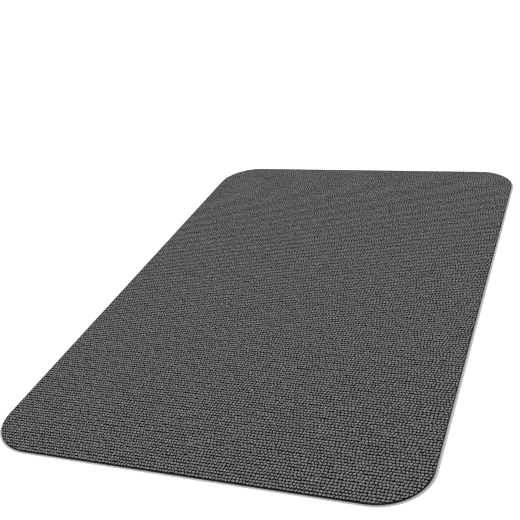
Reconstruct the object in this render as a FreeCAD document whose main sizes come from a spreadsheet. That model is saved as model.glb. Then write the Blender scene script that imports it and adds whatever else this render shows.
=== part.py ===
import FreeCAD, Part
import math
import os
import Sketcher

# A ribbed loop-pile chair mat, lying flat. Millimetres.
# Origin: centre of the underside, on the floor. +X along the short edges, +Y along the long edges, +Z up.
# From the floor up: anti-slip base, bonding film, primary backing, then the pile rows inside a sealed rim.

# ---------------------------------------------------------------- driving dimensions
DIMENSIONS = {
    "mat_width": 900.0,
    "mat_length": 1400.0,
    "corner_radius": 106.0,
    "base_thickness": 1.5,
    "base_bevel": 1.0,
    "side_flange": 5.0,
    "end_flange": 3.0,
    "film_thickness": 0.3,
    "backing_thickness": 0.6,
    "rim_width": 1.0,
    "rim_height": 3.1,
    "rim_rounding": 0.4,
    "row_height": 3.4,
    "row_shoulder": 1.5,
    "row_gap": 0.25,
    "row_count": 186,
    "band_count": 6,
}

# Heights above the floor.
FLOOR = "0 mm"
FILM_FLOOR = "sizes.base_thickness"
BACKING_FLOOR = f"({FILM_FLOOR} + sizes.film_thickness)"
PILE_FLOOR = f"({BACKING_FLOOR} + sizes.backing_thickness)"

# Outlines, as insets from the mat's long sides and from its short ends.
MAT = ("0", "0")
CARPET = ("sizes.side_flange", "sizes.end_flange")
PILE = ("(sizes.side_flange + sizes.rim_width)", "(sizes.end_flange + sizes.rim_width)")

# Row sizes: the rows divide the pile's length evenly and leave a narrow gap between neighbours.
PILE_FRONT = f"({PILE[1]} - sizes.mat_length / 2)"
ROW_PITCH = f"((sizes.mat_length - 2 * {PILE[1]}) / sizes.row_count)"
ROW_WIDTH = f"({ROW_PITCH} - sizes.row_gap)"
ROWS_PER_BAND = "(sizes.row_count / sizes.band_count)"
ARCH_RISE = "(sizes.row_height - sizes.row_shoulder)"
CROWN_RADIUS = f"({ROW_WIDTH} * {ROW_WIDTH} / 4 + {ARCH_RISE} * {ARCH_RISE}) / (2 * {ARCH_RISE})"

# Sketcher's numbers for points and for the sketch's own origin.
START, END, CENTRE = 1, 2, 3
ORIGIN = (-1, 1)

LEVEL_TOLERANCE = 1e-6

os.makedirs("parts", exist_ok=True)
doc = FreeCAD.newDocument("chair_mat")
sheet = doc.addObject("Spreadsheet::Sheet", "sizes")
for line, (alias, value) in enumerate(DIMENSIONS.items(), start=1):
    sheet.set(f"A{line}", alias)
    sheet.set(f"B{line}", str(value))
    sheet.setAlias(f"B{line}", alias)
doc.recompute()


# ---------------------------------------------------------------- helpers
def point(x, y):
    return FreeCAD.Vector(x, y, 0)


def new_body(name):
    """A body named after its node. A band of rows is several solids, so compounds are allowed."""
    body = doc.addObject("PartDesign::Body", name)
    body.Label = name
    body.AllowCompound = True
    return body


def new_feature(body, kind, name, profile):
    """Adds a sketch-based feature and makes it the body's tip."""
    feature = body.newObject(f"PartDesign::{kind}", name)
    feature.Profile = profile
    body.Tip = feature
    return feature


def sketch_on(body, name, role, across, up, out):
    """A sketch on one of the body's origin planes, moved within it and out of it by expressions."""
    plane = next(part for part in body.Origin.OriginFeatures if part.Role == role)
    sketch = body.newObject("Sketcher::SketchObject", name)
    sketch.AttachmentSupport = (plane, "")
    sketch.MapMode = "FlatFace"
    sketch.setExpression("AttachmentOffset.Base.x", across)
    sketch.setExpression("AttachmentOffset.Base.y", up)
    sketch.setExpression("AttachmentOffset.Base.z", out)
    return sketch


def rule(sketch, *words):
    """Adds a constraint without a dimension."""
    sketch.addConstraint(Sketcher.Constraint(*words))


def measure(sketch, name, expression, *words):
    """Adds a dimension and binds it to the sheet."""
    index = sketch.addConstraint(Sketcher.Constraint(*words))
    sketch.renameConstraint(index, name)
    sketch.setExpression(f"Constraints.{name}", expression)


def rounded_rectangle(sketch, outline):
    """A centred rectangle with four equal round corners, inset from the mat's sides and ends."""
    side_inset, end_inset = outline
    quarter_turn = math.pi / 2
    radius = float(sheet.corner_radius)
    half_width, half_length = sheet.mat_width / 2, sheet.mat_length / 2
    arcs = []
    for turn, (side_x, side_y) in enumerate([(1, 1), (-1, 1), (-1, -1), (1, -1)]):
        centre = point(side_x * (half_width - radius), side_y * (half_length - radius))
        circle = Part.Circle(centre, FreeCAD.Vector(0, 0, 1), radius)
        arc = Part.ArcOfCircle(circle, turn * quarter_turn, (turn + 1) * quarter_turn)
        arcs.append(sketch.addGeometry(arc))
    sides = []
    for arc, following in zip(arcs, arcs[1:] + arcs[:1]):
        segment = Part.LineSegment(sketch.getPoint(arc, END), sketch.getPoint(following, START))
        side = sketch.addGeometry(segment)
        rule(sketch, "Tangent", arc, END, side, START)
        rule(sketch, "Tangent", side, END, following, START)
        sides.append(side)
    back, left, front, right = sides
    for side in (back, front):
        rule(sketch, "Horizontal", side)
    for side in (left, right):
        rule(sketch, "Vertical", side)
    for arc in arcs[1:]:
        rule(sketch, "Equal", arcs[0], arc)
    rule(sketch, "Symmetric", arcs[0], CENTRE, arcs[2], CENTRE, *ORIGIN)
    across = ("DistanceX", left, START, right, START, 2 * half_width)
    along = ("DistanceY", front, START, back, START, 2 * half_length)
    rounding = f"sizes.corner_radius - ({side_inset} + {end_inset}) / 2"
    measure(sketch, "outline_width", f"sizes.mat_width - 2 * {side_inset}", *across)
    measure(sketch, "outline_length", f"sizes.mat_length - 2 * {end_inset}", *along)
    measure(sketch, "outline_radius", rounding, "Radius", arcs[0], radius)


def edges_at(shape, height):
    """The names of a shape's edges that lie level at this height."""
    names = []
    for number, edge in enumerate(shape.Edges, start=1):
        low, high = edge.BoundBox.ZMin, edge.BoundBox.ZMax
        if max(abs(low - height), abs(high - height)) < LEVEL_TOLERANCE:
            names.append(f"Edge{number}")
    return names


def ease_top(body, kind, name, dimension, expression):
    """Chamfers or fillets the level edges at the top of a body's last feature."""
    doc.recompute()
    raised = body.Tip
    eased = body.newObject(f"PartDesign::{kind}", name)
    eased.Base = (raised, edges_at(raised.Shape, raised.Shape.BoundBox.ZMax))
    eased.setExpression(dimension, expression)
    body.Tip = eased
    doc.recompute()
    if not eased.Shape.Volume < raised.Shape.Volume:
        raise RuntimeError(f"{name} removes nothing")


def flat_layer(name, outline, floor, thickness):
    """One flat layer of the laminate."""
    body = new_body(name)
    profile = sketch_on(body, f"{name}_outline", "XY_Plane", FLOOR, FLOOR, floor)
    rounded_rectangle(profile, outline)
    pad = new_feature(body, "Pad", f"{name}_pad", profile)
    pad.setExpression("Length", thickness)
    return body


# ---------------------------------------------------------------- the pieces
def anti_slip_base():
    """The rubbery sheet that lies on the floor and stands out past the carpet, its top edge eased."""
    body = flat_layer("anti_slip_base", MAT, FLOOR, "sizes.base_thickness")
    ease_top(body, "Chamfer", "base_bevel", "Size", "sizes.base_bevel")
    return body


def sealed_rim():
    """The carpet's melted edge: a rounded bead on the primary backing, all round the pile."""
    body = flat_layer("sealed_rim", CARPET, PILE_FLOOR, "sizes.rim_height")
    opening = sketch_on(body, "rim_opening", "XY_Plane", FLOOR, FLOOR, PILE_FLOOR)
    rounded_rectangle(opening, PILE)
    pocket = new_feature(body, "Pocket", "rim_pocket", opening)
    pocket.Type = "ThroughAll"
    pocket.Reversed = True
    ease_top(body, "Fillet", "rim_round", "Radius", "sizes.rim_rounding")
    return body


def row_section(body, first_row):
    """One yarn row seen end on: straight shoulders under an arched crown."""
    sketch = sketch_on(body, "row_section", "YZ_Plane", first_row, PILE_FLOOR, FLOOR)
    shoulder, crown = float(sheet.row_shoulder), float(sheet.row_height)
    side = crown
    foot = sketch.addGeometry(Part.LineSegment(point(-side, 0), point(side, 0)))
    rise = sketch.addGeometry(Part.LineSegment(point(side, 0), point(side, shoulder)))
    arch = sketch.addGeometry(Part.Arc(point(side, shoulder), point(0, crown), point(-side, shoulder)))
    fall = sketch.addGeometry(Part.LineSegment(point(-side, shoulder), point(-side, 0)))
    for edge, following in [(foot, rise), (rise, arch), (arch, fall), (fall, foot)]:
        rule(sketch, "Coincident", edge, END, following, START)
    rule(sketch, "Symmetric", foot, START, foot, END, *ORIGIN)
    rule(sketch, "Horizontal", foot)
    rule(sketch, "Vertical", rise)
    rule(sketch, "Vertical", fall)
    rule(sketch, "Equal", rise, fall)
    measure(sketch, "row_width", ROW_WIDTH, "Distance", foot, 2 * side)
    measure(sketch, "row_shoulder", "sizes.row_shoulder", "Distance", rise, shoulder)
    measure(sketch, "crown_radius", CROWN_RADIUS, "Radius", arch, crown)
    return sketch


def trim_ends(body):
    """Cuts the rows of an end band back to the round corners inside the rim."""
    untrimmed = body.Tip
    waste = sketch_on(body, "waste", "XY_Plane", FLOOR, FLOOR, FLOOR)
    rounded_rectangle(waste, PILE)
    reach = float(sheet.mat_length)
    around = waste.addGeometry(Part.Circle(point(0, 0), FreeCAD.Vector(0, 0, 1), reach))
    rule(waste, "Coincident", around, CENTRE, *ORIGIN)
    measure(waste, "reach", "sizes.mat_length", "Radius", around, reach)
    trim = new_feature(body, "Pocket", "corner_trim", waste)
    trim.Type = "ThroughAll"
    trim.Midplane = True
    doc.recompute()
    if not trim.Shape.Volume < untrimmed.Shape.Volume:
        raise RuntimeError(f"{body.Label}: the corner trim removes nothing")


def pile_band(number):
    """One band of the pile, counted from the front: neighbouring yarn rows, each a solid of its own."""
    body = new_body(f"pile_rows_{number}")
    first_row = f"{PILE_FRONT} + {ROW_PITCH} * ({number - 1} * {ROWS_PER_BAND} + 0.5)"
    section = row_section(body, first_row)
    row = new_feature(body, "Pad", "row", section)
    row.Midplane = True
    row.setExpression("Length", f"sizes.mat_width - 2 * {PILE[0]}")
    rows = body.newObject("PartDesign::LinearPattern", "rows")
    rows.Originals = [row]
    rows.Direction = (section, ["H_Axis"])
    rows.setExpression("Length", f"{ROW_PITCH} * ({ROWS_PER_BAND} - 1)")
    rows.setExpression("Occurrences", ROWS_PER_BAND)
    body.Tip = rows
    doc.recompute()
    if number in (1, int(sheet.band_count)):
        trim_ends(body)
    return body


nodes = [
    anti_slip_base(),
    flat_layer("bonding_film", CARPET, FILM_FLOOR, "sizes.film_thickness"),
    flat_layer("primary_backing", CARPET, BACKING_FLOOR, "sizes.backing_thickness"),
    sealed_rim(),
]
nodes += [pile_band(number) for number in range(1, int(sheet.band_count) + 1)]
doc.recompute()

# ---------------------------------------------------------------- checks and files
for item in doc.Objects:
    if "Invalid" in item.State or "Error" in item.State:
        raise RuntimeError(f"{item.Label} did not build: {item.State}")

for node in nodes:
    if node.Shape.isNull() or not node.Shape.isValid():
        raise RuntimeError(f"{node.Label} has no valid shape")

solids_per_band = int(sheet.row_count / sheet.band_count)
for node in nodes:
    expected = solids_per_band if node.Label.startswith("pile_rows") else 1
    if len(node.Shape.Solids) != expected:
        raise RuntimeError(f"{node.Label} has {len(node.Shape.Solids)} solids, not {expected}")
    node.Shape.exportStep(f"parts/{node.Label}.step")
    print(f"{node.Label}: {expected} solids, {node.Shape.Volume:.0f} cubic mm")
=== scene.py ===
import math

import bpy
import numpy as np
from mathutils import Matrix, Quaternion, Vector


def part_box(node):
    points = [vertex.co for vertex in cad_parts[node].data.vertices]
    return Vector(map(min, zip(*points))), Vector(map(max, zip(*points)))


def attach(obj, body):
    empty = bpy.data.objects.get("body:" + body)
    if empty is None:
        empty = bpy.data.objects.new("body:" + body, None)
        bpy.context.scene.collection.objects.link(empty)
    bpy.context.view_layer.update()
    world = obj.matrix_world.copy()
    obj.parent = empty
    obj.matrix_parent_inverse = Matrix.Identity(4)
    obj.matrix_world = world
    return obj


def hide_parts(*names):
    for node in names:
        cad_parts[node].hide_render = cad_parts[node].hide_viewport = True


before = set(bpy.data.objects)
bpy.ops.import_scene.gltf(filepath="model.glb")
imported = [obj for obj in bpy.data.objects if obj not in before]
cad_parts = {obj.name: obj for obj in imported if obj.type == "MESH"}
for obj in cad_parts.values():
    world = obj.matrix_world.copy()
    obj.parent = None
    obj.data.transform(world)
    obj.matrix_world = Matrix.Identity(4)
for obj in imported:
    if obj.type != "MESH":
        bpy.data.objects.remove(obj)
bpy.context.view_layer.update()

# The visual model of a ribbed loop-pile chair mat. Metres, in the CAD frame: X across, Y along, Z up.

# ---------------------------------------------------------------- sizes
BANDS = [f"pile_rows_{number}" for number in range(1, 7)]
ROWS_PER_BAND = 31
SEED = 20

base_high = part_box("anti_slip_base")[1]
cloth_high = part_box("primary_backing")[1]
rim_low, rim_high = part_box("sealed_rim")
band_low, band_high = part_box(BANDS[0])

BASE_RADIUS = 0.106            # of the base sheet's corners, as in the CAD model
SIDE_FLANGE = base_high.x - cloth_high.x
END_FLANGE = base_high.y - cloth_high.y
CARPET_RADIUS = BASE_RADIUS - (SIDE_FLANGE + END_FLANGE) / 2
RIM_WIDTH = rim_high.x - band_high.x
PILE_RADIUS = CARPET_RADIUS - RIM_WIDTH
PILE_FLOOR = band_low.z
PILE_HEIGHT = band_high.z - band_low.z
PILE_HALF_X = band_high.x
PILE_HALF_Y = rim_high.y - RIM_WIDTH
ROW_PITCH = 2 * PILE_HALF_Y / (ROWS_PER_BAND * len(BANDS))


# ---------------------------------------------------------------- node tools
MIX_FACTOR, MIX_A, MIX_B, MIX_RESULT = 0, 6, 7, 2      # the colour sockets of a Mix node


def new_material(name):
    """A new node material, its node tree and its Principled shader."""
    material = bpy.data.materials.new(name)
    material.use_nodes = True
    tree = material.node_tree
    shader = next(node for node in tree.nodes if node.type == "BSDF_PRINCIPLED")
    return material, tree, shader


def feed(tree, socket, value):
    """Sets a socket to a value, or links another node's output to it."""
    if isinstance(value, bpy.types.NodeSocket):
        tree.links.new(value, socket)
    else:
        socket.default_value = value


def add(tree, kind, **inputs):
    """A node with its named inputs fed."""
    node = tree.nodes.new(kind)
    for name, value in inputs.items():
        feed(tree, node.inputs[name.replace("_", " ")], value)
    return node


def scaled(tree, place, scale):
    """A vector stretched by a scale on each axis."""
    return add(tree, "ShaderNodeMapping", Vector=place, Scale=scale).outputs["Vector"]


def object_place(tree, scale):
    """The object's own coordinates, stretched by a scale on each axis."""
    return scaled(tree, tree.nodes.new("ShaderNodeTexCoord").outputs["Object"], scale)


def attribute(tree, name):
    """A node that reads what the mesh stores under a name."""
    node = tree.nodes.new("ShaderNodeAttribute")
    node.attribute_name = name
    return node


def noise(tree, place, detail=2.0, roughness=0.5):
    """Noise at a place whose scale is already set."""
    return add(tree, "ShaderNodeTexNoise", Vector=place, Scale=1.0, Detail=detail,
               Roughness=roughness).outputs["Fac"]


def maths(tree, operation, a, b=0.0):
    """A Math node of two numbers or sockets; an operation of one number ignores the second."""
    node = tree.nodes.new("ShaderNodeMath")
    node.operation = operation
    feed(tree, node.inputs[0], a)
    feed(tree, node.inputs[1], b)
    return node.outputs[0]


def ramp(tree, factor, stops):
    """A colour ramp from a list of (position, grey or colour)."""
    node = tree.nodes.new("ShaderNodeValToRGB")
    tree.links.new(factor, node.inputs["Fac"])
    marks = node.color_ramp.elements
    while len(marks) < len(stops):
        marks.new(0.5)
    for mark, (position, colour) in zip(marks, stops):
        mark.position = position
        grey = isinstance(colour, float)
        mark.color = (colour, colour, colour, 1) if grey else (*colour, 1)
    return node.outputs["Color"]


def mixed(tree, kind, factor, a, b):
    """A colour mix of two colours or sockets."""
    node = tree.nodes.new("ShaderNodeMix")
    node.data_type = "RGBA"
    node.blend_type = kind
    feed(tree, node.inputs[MIX_FACTOR], factor)
    feed(tree, node.inputs[MIX_A], a)
    feed(tree, node.inputs[MIX_B], b)
    return node.outputs[MIX_RESULT]


def bump(tree, shader, height, strength, distance):
    """Gives a shader relief from a height, as deep as the distance in metres."""
    node = add(tree, "ShaderNodeBump", Strength=strength, Distance=distance, Height=height)
    tree.links.new(node.outputs["Normal"], shader.inputs["Normal"])


# ---------------------------------------------------------------- materials
YARN_DARK = (0.070, 0.070, 0.068)
YARN_LIGHT = (0.562, 0.562, 0.543)
# Per metre along and round the yarn; the last number keeps each row apart from the next.
FIBRE_GRAIN = (500, 2600, 1)
FLECK_GRAIN = (800, 800, 1)
FIBRE_RELIEF = 0.5             # of the grooves' relief
# Ramps from a share to a factor on the yarn's tone: the first two are its own colour, the last two painted
# shade.
HEATHER = [(0.35, 0.55), (0.62, 1.0)]                  # by the fibres
FLECKS = [(0.38, 0.55), (0.54, 1.0)]                   # by the flecks
PLY_GROOVE_SHADE = [(0.0, 0.30), (0.45, 1.0)]                   # painted shade by the turn of a ply, darkest in the groove between two
PILE_DEPTH_SHADE = [(0.515, 0.002), (0.715, 0.10), (0.885, 1.0)]  # painted shade by the height in the pile, dark low down where the loops shade each other


def yarn_material():
    """Heathered charcoal yarn: twisted plies of uneven fibres, with shade painted between the plies and under
    the loops.
    """
    material, tree, shader = new_material("yarn")
    run = attribute(tree, "yarn_run").outputs["Vector"]
    fibres = noise(tree, scaled(tree, run, FIBRE_GRAIN), detail=3.0, roughness=0.7)
    flecks = noise(tree, scaled(tree, run, FLECK_GRAIN), detail=1.0)
    turns = attribute(tree, "ply_turns").outputs["Fac"]
    wave = maths(tree, "SINE", maths(tree, "MULTIPLY", turns, 2 * math.pi))
    ply = maths(tree, "MULTIPLY", maths(tree, "ADD", wave, 1.0), 0.5)
    rise = attribute(tree, "rise").outputs["Fac"]
    shade = attribute(tree, "shade").outputs["Fac"]
    tone = mixed(tree, "MIX", shade, (*YARN_DARK, 1), (*YARN_LIGHT, 1))
    # The fibres and flecks are the yarn's own tone; the ply grooves and the pile's low parts get painted
    # shade.
    for share, stops in ((fibres, HEATHER), (flecks, FLECKS), (ply, PLY_GROOVE_SHADE), (rise, PILE_DEPTH_SHADE)):
        tone = mixed(tree, "MULTIPLY", 1.0, tone, ramp(tree, share, stops))
    tree.links.new(tone, shader.inputs["Base Color"])
    tree.links.new(ramp(tree, fibres, [(0.3, 0.95), (0.7, 0.80)]), shader.inputs["Roughness"])
    shader.inputs["Specular IOR Level"].default_value = 0.03
    relief = maths(tree, "ADD", ply, maths(tree, "MULTIPLY", fibres, FIBRE_RELIEF))
    bump(tree, shader, relief, strength=0.8, distance=0.0006)
    return material


LUMP_GRAIN = (420, 420, 700)   # per metre


def rim_material():
    """Near-black fused fibre: slightly uneven, a faint sheen on its crests."""
    material, tree, shader = new_material("fused_fibre")
    lumps = noise(tree, object_place(tree, LUMP_GRAIN), detail=3.0, roughness=0.6)
    tree.links.new(ramp(tree, lumps, [(0.35, 0.0022), (0.70, 0.0065)]), shader.inputs["Base Color"])
    tree.links.new(ramp(tree, lumps, [(0.35, 0.85), (0.70, 0.62)]), shader.inputs["Roughness"])
    shader.inputs["Specular IOR Level"].default_value = 0.12
    bump(tree, shader, lumps, strength=0.6, distance=0.0005)
    return material


CLOUD_GRAIN = 14               # per metre, of the slow cloud in every sheet
SPECKLE_SHARE = 0.6            # of a sheet's colour; the cloud has the rest
SPECKLE_POLISH = 0.15          # how much less rough the speckle's high spots are


def sheet_material(name, dark, light, grain, roughness, relief):
    """A moulded or coated sheet: a fine speckle over a slow cloud in colour, the speckle in relief."""
    material, tree, shader = new_material(name)
    speckle = noise(tree, object_place(tree, (grain, grain, grain)), detail=2.0, roughness=0.6)
    cloud = noise(tree, object_place(tree, (CLOUD_GRAIN, CLOUD_GRAIN, CLOUD_GRAIN)))
    blend = maths(tree, "ADD", maths(tree, "MULTIPLY", speckle, SPECKLE_SHARE),
                  maths(tree, "MULTIPLY", cloud, 1 - SPECKLE_SHARE))
    tree.links.new(ramp(tree, blend, [(0.35, dark), (0.65, light)]), shader.inputs["Base Color"])
    tree.links.new(ramp(tree, speckle, [(0.3, roughness), (0.7, roughness - SPECKLE_POLISH)]),
                   shader.inputs["Roughness"])
    shader.inputs["Specular IOR Level"].default_value = 0.3
    bump(tree, shader, speckle, strength=0.5, distance=relief)
    return material


# ---------------------------------------------------------------- pile rows
# A row's section, from foot to foot over the crown: (across, up) as shares of half width and height.
SECTION = np.array([(-0.70, 0.0), (-0.98, 0.36), (-0.90, 0.70), (-0.52, 0.94), (0.0, 1.0),
                    (0.52, 0.94), (0.90, 0.70), (0.98, 0.36), (0.70, 0.0)])
# Where the stations along one loop stand, as shares of its length.
STATIONS = np.array([0.0, 0.14, 0.32, 0.50, 0.68, 0.86])
HALF_WIDTH = ROW_PITCH / 2
YARN_GIRTH = 3 * HALF_WIDTH    # round the section, for the material's grain
PLIES = 3
PLY_PITCH = 0.0052             # between the grooves where one ply follows the next along the yarn
PIECES_PER_BAND = 3
WELD_DECIMALS = 7              # of a metre, beyond which two points are one

LOOP_PITCH = 0.0067            # the mean stitch length along a row
ROW_OVERRUN = 1.5 * LOOP_PITCH  # of a row past the pile's edge, before the edge cuts it
WANDER_LENGTH = 0.030          # over which a row's own line wanders from straight
# What strays sideways is in shares of half a row's width.
WANDER = 0.07
LOOP_ASIDE = 0.10              # how far a loop stands out of its row
LOOP_SLANT = (0.07, 0.10)      # mean and spread of how far a loop leans along its row
LOOP_SHADE = (0.5, 0.03)       # mean and spread of its place between the yarn's dark and light, 0 to 1
RUFFLE = 0.025                 # of every station
# The lowest and the highest of each.
LOOP_LENGTHS = (0.78, 1.22)    # shares of the mean stitch
LOOP_HEIGHTS = (0.92, 0.99)    # shares of the pile's height
LOOP_WIDTHS = (0.94, 1.07)     # shares of half a row's width
PINCH_HEIGHTS = (0.59, 0.77)   # shares of the loop's own height, where two loops meet
PINCH_WIDTHS = (0.45, 0.66)    # shares of the loop's own width, there
CROWN_POWER = 2.4              # the higher, the flatter a loop is along its crown
FLANK_POWER = 0.6              # the lower, the steeper it rises from the pinch


def reach_at(y):
    """How far the pile reaches from the middle line at y, inside its round corners."""
    into_corner = np.clip(np.abs(y) - (PILE_HALF_Y - PILE_RADIUS), 0, PILE_RADIUS)
    return PILE_HALF_X - PILE_RADIUS + np.sqrt(PILE_RADIUS**2 - into_corner**2)


def row_of_loops(y, rng):
    """One yarn row as a closed tube pinched between its loops: points, faces, end caps and point facts."""
    span = float(reach_at(np.array(max(0.0, abs(y) - HALF_WIDTH)))) + ROW_OVERRUN
    count = int(2 * span / LOOP_PITCH)
    lengths = rng.uniform(*LOOP_LENGTHS, count)
    lengths = lengths * 2 * span / lengths.sum()
    starts = -span + np.concatenate([[0], np.cumsum(lengths)[:-1]]) - rng.uniform(0, LOOP_PITCH)
    x = (starts[:, None] + lengths[:, None] * STATIONS).ravel()
    height = rng.uniform(*LOOP_HEIGHTS, count)
    width = rng.uniform(*LOOP_WIDTHS, count)
    slant = rng.normal(*LOOP_SLANT, count)
    aside = rng.normal(0, LOOP_ASIDE, count)
    shade = np.clip(rng.normal(*LOOP_SHADE, count), 0, 1)
    pinch_height = rng.uniform(*PINCH_HEIGHTS, count + 1)
    pinch_width = rng.uniform(*PINCH_WIDTHS, count + 1)
    knots = np.arange(-span - LOOP_PITCH, span + 2 * WANDER_LENGTH, WANDER_LENGTH)
    wander = np.interp(x, knots, rng.normal(0, WANDER, len(knots)))

    # The edge of the pile cuts each line of the section where it reaches it.
    limit = reach_at(y + SECTION[:, 0] * HALF_WIDTH)
    x = np.clip(x[:, None], -limit, limit)
    loop = np.clip(np.searchsorted(starts, x, side="right") - 1, 0, count - 1)
    u = np.clip((x - starts[loop]) / lengths[loop], 0, 1)
    bulge = np.clip(1 - np.abs(2 * u - 1) ** CROWN_POWER, 0, 1) ** FLANK_POWER
    ruffle = rng.normal(0, RUFFLE, len(x))[:, None]
    nearest = loop + (u > 0.5)
    tall = height[loop] * (pinch_height[nearest] + (1 - pinch_height[nearest]) * bulge)
    wide = width[loop] * (pinch_width[nearest] + (1 - pinch_width[nearest]) * bulge) * (1 + ruffle)
    sway = (aside[loop] + slant[loop] * np.sin(math.pi * (u - 0.5))) * bulge
    lean = wander[:, None] + ruffle + sway
    points = np.stack([
        x,
        (y + HALF_WIDTH * (wide * SECTION[:, 0] + lean)).clip(-PILE_HALF_Y, PILE_HALF_Y),
        PILE_FLOOR + PILE_HEIGHT * tall * SECTION[:, 1],
    ], axis=2).reshape(-1, 3)

    along, around = x.shape
    girth = np.linspace(0, 1, around)
    facts = {
        "shade": shade[loop].ravel(),
        "rise": (tall * SECTION[:, 1]).ravel(),
        "ply_turns": (x / PLY_PITCH + PLIES * girth).ravel(),
        "yarn_run": np.stack([x, np.broadcast_to(girth * YARN_GIRTH, x.shape),
                              np.full(x.shape, y / ROW_PITCH)], axis=2).reshape(-1, 3),
    }
    ring = np.arange(around)
    here = np.arange(along - 1)[:, None] * around
    following = (ring + 1) % around
    quads = np.stack([here + ring, here + following, here + around + following, here + around + ring],
                     axis=2).reshape(-1, 4)
    return points, quads, (ring[::-1], (along - 1) * around + ring), facts


def welded(points, quads, caps, facts):
    """Joins the points that the edge's cut laid on each other, and drops the faces it closed up."""
    _, keep, same = np.unique(np.round(points, WELD_DECIMALS), axis=0, return_index=True, return_inverse=True)
    same = same.ravel()
    faces = []
    for face in [*same[quads].tolist(), *[same[cap].tolist() for cap in caps]]:
        corners = [p for i, p in enumerate(face) if p != face[i - 1]]
        if len(set(corners)) == len(corners) > 2:
            faces.append(corners)
    return points[keep], faces, {name: values[keep] for name, values in facts.items()}


def mesh_object(name, points, faces, material):
    """A smooth-shaded mesh in the scene, with one material."""
    mesh = bpy.data.meshes.new(name)
    mesh.from_pydata(points, [], faces)
    mesh.materials.append(material)
    mesh.polygons.foreach_set("use_smooth", np.ones(len(mesh.polygons), bool))
    mesh.update()
    piece = bpy.data.objects.new(name, mesh)
    bpy.context.scene.collection.objects.link(piece)
    return piece


def placed(piece, node):
    """Attaches a piece to the root body and hides the CAD node it stands for."""
    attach(piece, "root")
    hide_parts(node)


def pile_piece(name, rows, material, rng):
    """A stretch of neighbouring rows as one piece."""
    points, faces, facts, total = [], [], [], 0
    for y in rows:
        row_points, row_faces, row_facts = welded(*row_of_loops(y, rng))
        points.append(row_points)
        faces += [[corner + total for corner in face] for face in row_faces]
        facts.append(row_facts)
        total += len(row_points)
    piece = mesh_object(name, np.concatenate(points), faces, material)
    for label in facts[0]:
        values = np.concatenate([row_facts[label] for row_facts in facts]).astype(np.float32)
        kind, field = ("FLOAT_VECTOR", "vector") if values.ndim == 2 else ("FLOAT", "value")
        layer = piece.data.attributes.new(label, kind, "POINT")
        layer.data.foreach_set(field, values.ravel())
    return piece


def pile(rng):
    """Every row of the mat, from front to back, in a few pieces for each band. Returns the pieces."""
    material = yarn_material()
    made = []
    for number, band in enumerate(BANDS):
        rows = -PILE_HALF_Y + ROW_PITCH * (number * ROWS_PER_BAND + np.arange(ROWS_PER_BAND) + 0.5)
        for part, some in enumerate(np.array_split(rows, PIECES_PER_BAND), start=1):
            piece = pile_piece(f"{band}_part_{part}", some, material, rng)
            placed(piece, band)
            made.append(piece)
    return made


# ---------------------------------------------------------------- sealed rim
RIM_STEP = 0.0024              # between the stations of the rim
RIM_HEIGHTS = (0.72, 0.86)     # lowest and highest share of the CAD rim's height
RIM_REACHES = (0.92, 1.0)      # smallest and largest share of its width
# The rim's section: (share of its width from the outside, share of its height).
RIM_SECTION = np.array([(0.0, 0.0), (0.0, 0.45), (0.04, 0.78), (0.25, 0.96), (0.55, 1.0),
                        (0.85, 0.90), (1.0, 0.62), (1.0, 0.0)])
QUARTERS = [(1, 1), (-1, 1), (-1, -1), (1, -1)]        # the corners' sides, anticlockwise


def round_outline(half_x, half_y, radius, step):
    """Points and outward normals round a rounded rectangle, about a step apart."""
    centres = np.array(QUARTERS) * (half_x - radius, half_y - radius)
    points, normals = [], []
    for turn, centre in enumerate(centres):
        angle = np.linspace(turn * math.pi / 2, (turn + 1) * math.pi / 2,
                            int(radius * math.pi / 2 / step) + 1)
        out = np.stack([np.cos(angle), np.sin(angle)], axis=1)
        points.append(centre + radius * out)
        normals.append(out)
        # The straight edge from this corner's end to the next one's start, without either.
        end = points[-1][-1]
        goal = centres[(turn + 1) % len(centres)] + radius * out[-1]
        share = np.linspace(0, 1, int(np.linalg.norm(goal - end) / step) + 1)[1:-1, None]
        points.append(end * (1 - share) + goal * share)
        normals.append(np.repeat(out[-1:], len(share), axis=0))
    return np.concatenate(points), np.concatenate(normals)


def rim(rng):
    """The melted edge: a bead of uneven height and width all round the pile."""
    path, out = round_outline(rim_high.x, rim_high.y, CARPET_RADIUS, RIM_STEP)
    count = len(path)
    height = rng.uniform(*RIM_HEIGHTS, count)
    height = (height + np.roll(height, 1)) / 2
    inward = rng.uniform(*RIM_REACHES, count)
    across = RIM_WIDTH * RIM_SECTION[:, 0] * inward[:, None]
    up = rim_low.z + (rim_high.z - rim_low.z) * RIM_SECTION[:, 1] * height[:, None]
    spots = path[:, None] - out[:, None] * across[:, :, None]
    points = np.concatenate([spots, up[:, :, None]], axis=2).reshape(-1, 3)
    around = len(RIM_SECTION)
    ring = np.arange(around)
    here = np.arange(count)[:, None] * around
    ahead = (here + around) % (count * around)
    following = (ring + 1) % around
    quads = np.stack([here + following, here + ring, ahead + ring, ahead + following], axis=2)
    bead = mesh_object("sealed_rim_bead", points, quads.reshape(-1, 4).tolist(), rim_material())
    placed(bead, "sealed_rim")
    return bead


rng = np.random.default_rng(SEED)
on_the_cloth = [*pile(rng), rim(rng)]

# ---------------------------------------------------------------- sheets: looks
# For each sheet: its material's name, dark and light colour, grain per metre, roughness, relief in metres.
SHEET_LOOKS = {
    "anti_slip_base": ("light_rubber", (0.42, 0.42, 0.42), (0.48, 0.48, 0.475), 900, 0.75, 0.0002),
    "bonding_film": ("hot_melt_film", (0.30, 0.29, 0.25), (0.38, 0.36, 0.31), 500, 0.6, 0.0001),
    "primary_backing": ("backing_cloth", (0.006, 0.006, 0.006), (0.012, 0.012, 0.012), 1200, 0.95, 0.0003),
}
for node, look in SHEET_LOOKS.items():
    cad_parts[node].material_slots[0].material = sheet_material(*look)


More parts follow.
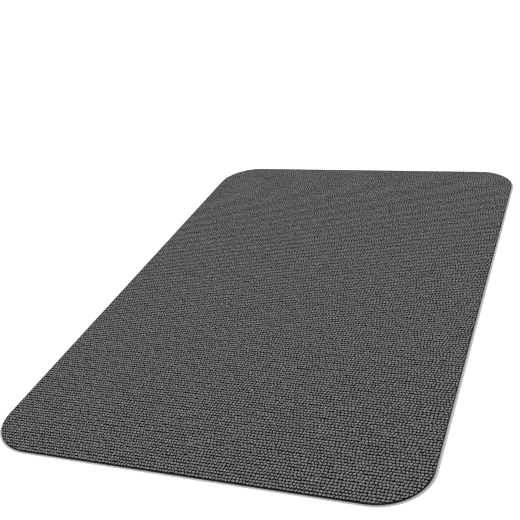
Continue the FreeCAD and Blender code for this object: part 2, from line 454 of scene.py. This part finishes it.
# ---------------------------------------------------------------- floor, light, camera
FLOOR_SIZE = 160               # wide enough to have no visible end
FLOOR_TONE = (0.9, 0.9, 0.9, 1)
FLOOR_ROUGHNESS = 0.9
SKY_COLOUR, SKY_STRENGTH = (1, 1, 1, 1), 1.0
SUN_DIRECTION = Vector((0.9, -0.5, -1.0))
SUN_ENERGY, SUN_SPREAD = 1.9, math.radians(35)

CAMERA_PLACE = Vector((0.699, -1.7633, 1.077))
AZIMUTH, ELEVATION, ROLL = math.radians(-24.122), math.radians(27.66), math.radians(-8.687)
SENSOR_WIDTH, LENS = 36, 61.27                         # millimetres
PIXEL_FILTER = 1.3             # narrower than the default 1.5, for the photo's pixel-scale contrast


def white_floor():
    bpy.ops.mesh.primitive_plane_add(size=FLOOR_SIZE)
    floor = bpy.context.object
    floor.name = "floor"
    material, _, shader = new_material("floor")
    shader.inputs["Base Color"].default_value = FLOOR_TONE
    shader.inputs["Roughness"].default_value = FLOOR_ROUGHNESS
    floor.data.materials.append(material)


def studio_light(scene):
    """A white sky and a wide sun."""
    scene.world = bpy.data.worlds.new("studio")
    scene.world.use_nodes = True
    background = scene.world.node_tree.nodes["Background"]
    background.inputs["Color"].default_value = SKY_COLOUR
    background.inputs["Strength"].default_value = SKY_STRENGTH
    key_data = bpy.data.lights.new("key", "SUN")
    key_data.energy = SUN_ENERGY
    key_data.angle = SUN_SPREAD
    key = bpy.data.objects.new("key", key_data)
    key.rotation_mode = "QUATERNION"
    key.rotation_quaternion = SUN_DIRECTION.to_track_quat("-Z", "Y")
    scene.collection.objects.link(key)


def photo_camera(scene):
    """The photo's point of view, from the camera fitted to the mat's outline."""
    camera_data = bpy.data.cameras.new("camera")
    camera_data.sensor_width = SENSOR_WIDTH
    camera_data.lens = LENS
    camera = bpy.data.objects.new("camera", camera_data)
    camera.location = CAMERA_PLACE
    camera.rotation_mode = "QUATERNION"
    ahead = Vector((math.sin(AZIMUTH) * math.cos(ELEVATION), math.cos(AZIMUTH) * math.cos(ELEVATION),
                    -math.sin(ELEVATION)))
    camera.rotation_quaternion = ahead.to_track_quat("-Z", "Y") @ Quaternion((0, 0, 1), ROLL)
    scene.collection.objects.link(camera)
    scene.camera = camera


scene = bpy.context.scene
white_floor()
studio_light(scene)
photo_camera(scene)
scene.view_settings.view_transform = "Standard"
scene.cycles.filter_width = PIXEL_FILTER
scene.cycles.denoising_prefilter = "NONE"
